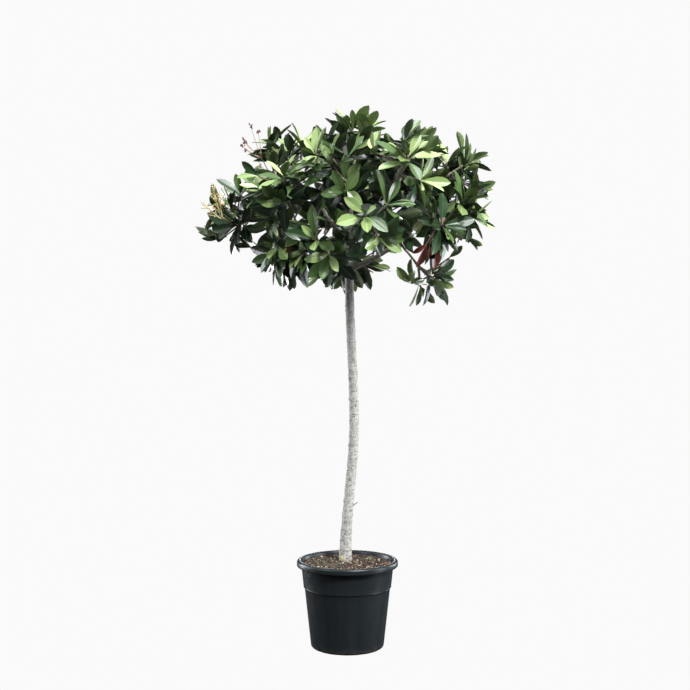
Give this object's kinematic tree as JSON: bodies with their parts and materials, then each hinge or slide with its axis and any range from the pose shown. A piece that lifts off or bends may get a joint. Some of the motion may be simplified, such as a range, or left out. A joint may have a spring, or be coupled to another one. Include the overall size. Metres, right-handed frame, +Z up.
{
  "type": "potted standard loquat tree",
  "caption": "Evergreen loquat trained as a standard: a bare, slightly bowed trunk under a wide crown of leathery leaves, in a black nursery pot.",
  "frame": {"origin": "centre of the pot's flat underside", "axes": "+Z up along the trunk, -Y towards the viewer of the picture, +X to the viewer's right"},
  "size_m": [1.1574, 1.0382, 2.1194],
  "materials": {
    "pot_plastic": "satin black moulded plastic",
    "compost": "rough bark compost",
    "bark": "rough pale grey bark",
    "foliage": "glossy leathery leaf"
  },
  "bodies": {
    "root": {"bough_back": "bark", "bough_back_left": "bark", "bough_back_right": "bark", "bough_back_top": "bark", "bough_drooping": "bark", "bough_front": "bark", "bough_front_right": "bark", "bough_front_top": "bark", "bough_left": "bark", "bough_left_middle": "bark", "bough_low_back": "bark", "bough_low_front": "bark", "bough_low_left": "bark", "bough_right": "bark", "bough_right_high": "bark", "bough_right_low": "bark", "bough_top": "bark", "bough_upper_left": "bark", "bough_upper_right": "bark", "leaves_back": "foliage", "leaves_back_left": "foliage", "leaves_back_right": "foliage", "leaves_back_top": "foliage", "leaves_drooping": "foliage", "leaves_front": "foliage", "leaves_front_right": "foliage", "leaves_front_top": "foliage", "leaves_left": "foliage", "leaves_left_middle": "foliage", "leaves_low_back": "foliage", "leaves_low_front": "foliage", "leaves_low_left": "foliage", "leaves_right": "foliage", "leaves_right_high": "foliage", "leaves_right_low": "foliage", "leaves_top": "foliage", "leaves_upper_left": "foliage", "leaves_upper_right": "foliage", "pot": "pot_plastic", "soil": "compost", "trunk": "bark"}
  },
  "joints": []
}
